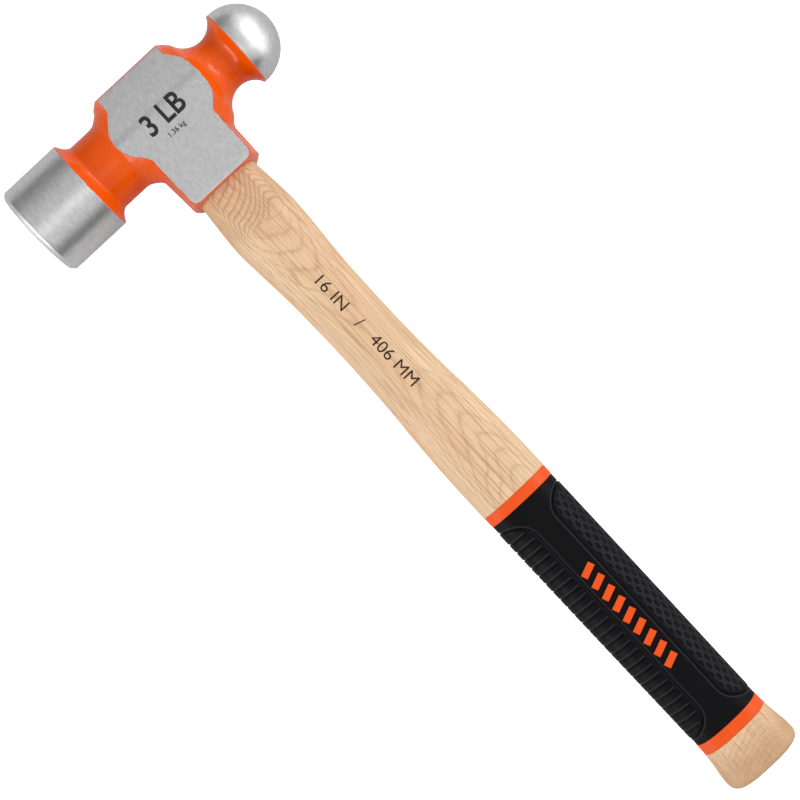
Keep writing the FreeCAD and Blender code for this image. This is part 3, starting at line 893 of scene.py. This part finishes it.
def wood_material(name, light, mid, dark, ring_width=0.72):
    """Hickory: growth rings seen as long lines, ovals and arcs, with pores along the grain."""
    n = Nodes(name)
    base = n.place()
    x, y, z = (axis_of(n, base, axis) for axis in (0, 1, 2))
    from_waist = n.math("SUBTRACT", x, 132.0)
    bow = n.math("MULTIPLY", n.math("MULTIPLY", from_waist, from_waist), 0.00042)
    drift = n.noise(n.place((0.011, 0.030, 0.030), (3.1, 0, 0)), 1.0, 1.0, 0.5)
    wander = n.math("ADD", bow, n.math("MULTIPLY", n.math("SUBTRACT", drift, 0.5), 3.4))
    medium = n.noise(n.place((0.022, 0.16, 0.16), (5, 3, 1)), 1.0, 2.0, 0.5)
    wander = n.math("ADD", wander, n.math("MULTIPLY", n.math("SUBTRACT", medium, 0.5), 0.6))
    ripple = n.noise(n.place((0.45, 0.8, 0.8), (1, 8, 6)), 1.0, 2.0, 0.5)
    wander = n.math("ADD", wander, n.math("MULTIPLY", n.math("SUBTRACT", ripple, 0.5), 0.16))
    root = n.math("MAXIMUM", n.math("SUBTRACT", ROOT_END, x), 0.0)
    wander = n.math("SUBTRACT", wander, n.math("MULTIPLY", root, 0.24))
    whole = n.between(x, ROOT_END - 3.0, ROOT_END + 2.0, 1.0, 0.0)
    lean = n.math("MULTIPLY", n.math("MULTIPLY", whole, y), 0.10)
    wander = n.math("ADD", wander, lean)
    away = n.math("ADD", z, 48.0)
    off = n.math("ADD", y, 4.5)
    radius = n.math("SQRT", n.math("ADD", n.math("MULTIPLY", away, away),
                                   n.math("MULTIPLY", off, off)))
    radius = n.math("ADD", radius, wander)
    turn = n.math("FRACT", n.math("DIVIDE", radius, ring_width))
    fine = n.noise(n.place((0.05, 5.2, 5.2)), 1.0, 4.0, 0.7)
    fibre = n.noise(n.place((0.018, 1.7, 1.7), (2, 7, 4)), 1.0, 3.0, 0.6)
    edge = n.ramp(turn, (0.0, 0.85), (0.13, 0.22), (0.55, 0.0), (0.84, 0.18), (0.96, 1.0))
    ring = n.math("MULTIPLY", edge, n.math("MAXIMUM", whole, n.between(fine, 0.35, 0.65, 0.12, 1.0)))
    patch = n.noise(n.place((0.012, 0.07, 0.07), (9, 2, 3)), 1.0, 2.0, 0.5)
    colour = n.blend(n.between(patch, 0.3, 0.7), light, mid)
    strength = n.between(whole, 0.0, 1.0, 0.72, 1.0)
    colour = n.blend(n.between(whole, 0.0, 1.0, 0.0, 0.20), colour, dark)
    colour = n.blend(n.math("MULTIPLY", ring, strength), colour, dark)
    colour = n.blend(n.between(fibre, 0.48, 0.64, 0.0, 0.74), colour, dark)
    colour = n.blend(n.between(fine, 0.45, 0.75, 0.0, 0.30), colour, dark)
    # The wood is darker from the grip's end towards the butt.
    darker_to_butt = n.between(x, GRIP_END, GRIP_END + 12.0, 0.0, 0.58)
    colour = n.blend(darker_to_butt, colour, dark)
    pores = n.noise(n.place((0.30, 5.5, 5.5), (1, 2, 8)), 1.0, 2.0, 0.55)
    pore = n.math("MULTIPLY", n.between(pores, 0.64, 0.72), n.between(turn, 0.6, 0.95, 0.12, 1.0))
    colour = n.blend(n.math("MULTIPLY", pore, 0.85), colour,
                     tuple(value * 0.5 for value in dark))
    n.set(Base_Color=colour, Roughness=n.between(fine, 0.2, 0.8, 0.42, 0.56), IOR=1.5)
    height = n.math("ADD", n.math("MULTIPLY", ring, -0.03), n.math("MULTIPLY", pore, -0.06))
    height = n.math("ADD", height, n.math("MULTIPLY", fine, 0.02))
    n.set(Normal=n.bump(height, 0.8, MM))
    return n.material


def rubber_material(name, low, high, edge, rough, sheen, speckle=0.012):
    """Moulded elastomer with a fine satin grain, and a painted highlight: where the lit_edge attribute
    is set, the colour is lightened towards edge.
    """
    n = Nodes(name)
    base = n.place()
    cloud = n.noise(base, 0.12, 3.0, 0.6)
    grain = n.noise(base, 7.0, 2.0, 0.6)
    # Painted highlight: lit_edge marks the cover's rims and rib edges that catch the light.
    painted_edge_light = n.node("Attribute", attribute_name="lit_edge").outputs["Fac"]
    body = n.blend(cloud, low, high)
    n.set(Base_Color=n.blend(n.math("MULTIPLY", painted_edge_light, 0.8), body, edge),
          Roughness=n.between(n.math("ADD", n.math("MULTIPLY", cloud, 0.6),
                                     n.math("MULTIPLY", grain, 0.4)),
                              0.3, 0.7, rough - 0.06, rough + 0.06),
          IOR=1.5, Specular_IOR_Level=sheen)
    n.set(Normal=n.bump(grain, 0.6, speckle * MM))
    return n.material


def ink_material(name, colour, rough):
    """Thin print or laser marking, slightly uneven."""
    n = Nodes(name)
    patch = n.noise(n.place((0.6, 0.6, 0.6)), 1.0, 4.0, 0.6)
    wear = n.noise(n.place((0.3, 5.0, 5.0)), 1.0, 2.0, 0.6)
    part = n.math("MULTIPLY", n.math("ADD", patch, wear), 0.5)
    n.set(Base_Color=n.blend(part, colour, tuple(value * 2.2 + 0.004 for value in colour)),
          Roughness=n.between(patch, 0.3, 0.7, rough - 0.05, rough + 0.08),
          Specular_IOR_Level=0.2)
    n.set(Normal=n.bump(wear, 0.3, 0.01 * MM))
    return n.material


def dull_steel_material(name):
    """Stamped mild steel, as on the wedges' ends."""
    n = Nodes(name)
    base = n.place()
    scratch = n.noise(n.place((4.0, 4.0, 0.5)), 1.0, 4.0, 0.6)
    stain = n.noise(base, 0.4, 3.0, 0.6)
    colour = n.blend(n.between(stain, 0.3, 0.7), (0.30, 0.29, 0.28), (0.46, 0.46, 0.47))
    n.set(Base_Color=colour, Metallic=1.0, Roughness=n.between(scratch, 0.2, 0.8, 0.35, 0.6))
    n.set(Normal=n.bump(scratch, 0.5, 0.03 * MM))
    return n.material


def floor_material():
    """Pale paper, evenly lit to the camera and dimmer in reflections."""
    n = Nodes("pale_floor")
    patch = n.noise(n.node("TexCoord").outputs["Object"], 3.0, 2.0, 0.5)
    paper = n.blend(patch, (0.60, 0.60, 0.60), (0.636, 0.636, 0.636))
    n.set(Base_Color=paper, Roughness=0.95, Specular_IOR_Level=0.0)
    glow = n.node("Emission", {"Color": (1.0, 1.0, 1.0), "Strength": 1.0})
    both = n.node("AddShader", {0: n.shader.outputs[0], 1: glow.outputs[0]})
    seen = n.node("LightPath").outputs["Is Camera Ray"]
    choice = n.node("MixShader", {0: seen, 1: n.shader.outputs[0], 2: both.outputs[0]})
    n.link(choice.outputs[0], n.output.inputs[0])
    return n.material


# ------------------------------------------------------------------ stage
CAMERA_AT = (160.0, -9.0)
CAMERA_HEIGHT = 780.0
CAMERA_LENS = 80.84
HANDLE_HEADING = math.radians(46.98)
FLOOR_SPAN = 24.0
FLOOR_BITE = 0.15
FLOOR_REACH = 1.8
ROOM_STRENGTH = 0.82

# Brightness of the room by direction: along the handle, and along the head.
ROOM_ALONG_X = ((-1.0, 0.28), (-0.88, 0.46), (-0.67, 0.80), (-0.41, 0.96), (-0.05, 0.96), (0.18, 0.62),
                (0.32, 0.95), (0.50, 1.12), (0.80, 1.15), (0.88, 0.70), (0.94, 0.0), (1.0, 0.15))
ROOM_ALONG_Y = ((-1.0, 0.9), (-0.97, 1.9), (-0.80, 1.9), (-0.76, 1.0), (-0.30, 0.86), (0.0, 0.80),
                (0.30, 0.86), (0.52, 1.0), (0.56, 1.8), (0.86, 1.9), (1.0, 1.5))


def make_floor():
    """A pale plane that the poll and the butt both touch."""
    low_poll = -POLL_RADIUS
    low_butt = -STATIONS[-1][2] + FLOOR_BITE
    tilt = math.atan2(low_butt - low_poll, BUTT_END - BUTT_ROUND - FLOOR_REACH)
    half = FLOOR_SPAN / 2
    mesh = bpy.data.meshes.new("floor")
    cosine, sine = math.cos(tilt), math.sin(tilt)
    start = Vector(to_row(0, 0, low_poll))
    corners = [start + Vector((a * half * cosine, b * half, a * half * sine))
               for a, b in ((-1, -1), (1, -1), (1, 1), (-1, 1))]
    mesh.from_pydata([tuple(corner) for corner in corners], [], [(0, 1, 2, 3)])
    mesh.materials.append(floor_material())
    floor = bpy.data.objects.new("floor", mesh)
    bpy.context.scene.collection.objects.link(floor)


def make_camera():
    """Straight down on the hammer, with the handle running to the lower right."""
    data = bpy.data.cameras.new("camera")
    data.lens = CAMERA_LENS
    data.sensor_width = 36.0
    data.clip_start = 0.01
    camera = bpy.data.objects.new("camera", data)
    bpy.context.scene.collection.objects.link(camera)
    cosine, sine = math.cos(HANDLE_HEADING), math.sin(HANDLE_HEADING)
    right, up, back = Vector((cosine, sine, 0)), Vector((-sine, cosine, 0)), Vector((0, 0, 1))
    turn = Matrix((right, up, back)).transposed().to_4x4()
    camera.matrix_world = Matrix.Translation(to_row(*CAMERA_AT, CAMERA_HEIGHT)) @ turn
    bpy.context.scene.camera = camera


def area_light(name, power, size, place, aim):
    """A soft box at a place in metres from the hammer's middle, aimed at another."""
    data = bpy.data.lights.new(name, "AREA")
    data.shape = "RECTANGLE"
    data.size, data.size_y = size
    data.energy = power
    light = bpy.data.objects.new(name, data)
    light.location = place
    light.rotation_euler = (Vector(aim) - Vector(place)).to_track_quat("-Z", "Y").to_euler()
    bpy.context.scene.collection.objects.link(light)


def sky_ramp(tree, direction, axis, stops):
    """Grey by one component of the direction looked in, from -1 to 1."""
    parts = tree.nodes.new("ShaderNodeSeparateXYZ")
    half = tree.nodes.new("ShaderNodeMath")
    half.operation = "MULTIPLY_ADD"
    half.inputs[1].default_value = half.inputs[2].default_value = 0.5
    ramp = tree.nodes.new("ShaderNodeValToRGB")
    tree.links.new(direction, parts.inputs[0])
    tree.links.new(parts.outputs[axis], half.inputs[0])
    tree.links.new(half.outputs[0], ramp.inputs[0])
    fill_ramp(ramp.color_ramp.elements, [((place + 1) / 2, grey) for place, grey in stops])
    return ramp.outputs[0]


def make_world():
    """A white room with long soft boxes on both sides, plain white behind the object."""
    world = bpy.data.worlds.new("studio")
    world.use_nodes = True
    tree = world.node_tree
    tree.nodes.clear()
    output = tree.nodes.new("ShaderNodeOutputWorld")
    direction = tree.nodes.new("ShaderNodeTexCoord").outputs["Generated"]
    product = tree.nodes.new("ShaderNodeMix")
    product.data_type = "RGBA"
    product.blend_type = "MULTIPLY"
    product.inputs[0].default_value = 1.0
    tree.links.new(sky_ramp(tree, direction, 0, ROOM_ALONG_X), product.inputs[6])
    tree.links.new(sky_ramp(tree, direction, 1, ROOM_ALONG_Y), product.inputs[7])
    room = tree.nodes.new("ShaderNodeBackground")
    room.inputs[1].default_value = ROOM_STRENGTH
    behind = tree.nodes.new("ShaderNodeBackground")
    behind.inputs[0].default_value = (0.97, 0.97, 0.97, 1.0)
    tree.links.new(product.outputs[2], room.inputs[0])
    path = tree.nodes.new("ShaderNodeLightPath")
    choice = tree.nodes.new("ShaderNodeMixShader")
    tree.links.new(path.outputs["Is Camera Ray"], choice.inputs[0])
    tree.links.new(room.outputs[0], choice.inputs[1])
    tree.links.new(behind.outputs[0], choice.inputs[2])
    tree.links.new(choice.outputs[0], output.inputs[0])
    bpy.context.scene.world = world


def make_lights():
    """A large box overhead and a strip beyond each end of the head."""
    middle = (-0.1, 0.0, 0.02)
    area_light("overhead", 0.8, (0.5, 0.5), (0.12, 0.0, 1.30), middle)
    area_light("ball_strip", 6.0, (1.1, 0.26), (-0.05, 1.05, 0.80), middle)
    area_light("poll_strip", 6.0, (1.1, 0.26), (-0.05, -1.20, 0.42), middle)
    bpy.context.scene.view_settings.view_transform = "Standard"


# ------------------------------------------------------------------ assembly
def dress_nodes(wedge_wood, wedge_steel):
    """Give the wedges, which keep their CAD shapes, their materials."""
    for name, material in (("wood_wedge", wedge_wood), ("steel_wedge_1", wedge_steel),
                           ("steel_wedge_2", wedge_steel)):
        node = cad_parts[name]
        for material_slot in node.material_slots:
            material_slot.material = material


hickory = wood_material("hickory", (0.80, 0.575, 0.365), (0.72, 0.475, 0.285), (0.44, 0.235, 0.105))
wedge_wood = wood_material("wedge_wood", (0.50, 0.31, 0.17), (0.44, 0.26, 0.13),
                           (0.25, 0.13, 0.06), 1.1)
make_head(head_material())
make_handle(hickory)
make_cover(rubber_material("grip_black_rubber", (0.0022, 0.0022, 0.0028), (0.0036, 0.0036, 0.0044),
                           (0.030, 0.030, 0.034), 0.46, 0.08))
make_liner(rubber_material("grip_orange_rubber", (0.76, 0.072, 0.003), (0.81, 0.086, 0.005),
                           (0.90, 0.20, 0.05), 0.42, 0.22))
dress_nodes(wedge_wood, dull_steel_material("wedge_steel"))

laser = ink_material("laser_grey", (0.012, 0.012, 0.013), 0.55)
print_brown = ink_material("print_brown", (0.022, 0.010, 0.006), 0.55)
lettering("weight_mark", "3 LB", 10.0, (2.4, 0.5), math.pi / 2, 0.02, 0.85, laser,
          cheek_surface)
lettering("weight_mark_metric", "1.36 kg", 3.2, (11.6, 0.5), math.pi / 2, 0.012, 0.95, laser,
          cheek_surface)
lettering("length_mark", "16 IN   /   406 MM", 5.3, (128.8, 1.0), 0.0, 0.0, 1.1, print_brown,
          handle_surface)

make_floor()
make_camera()
make_world()
make_lights()
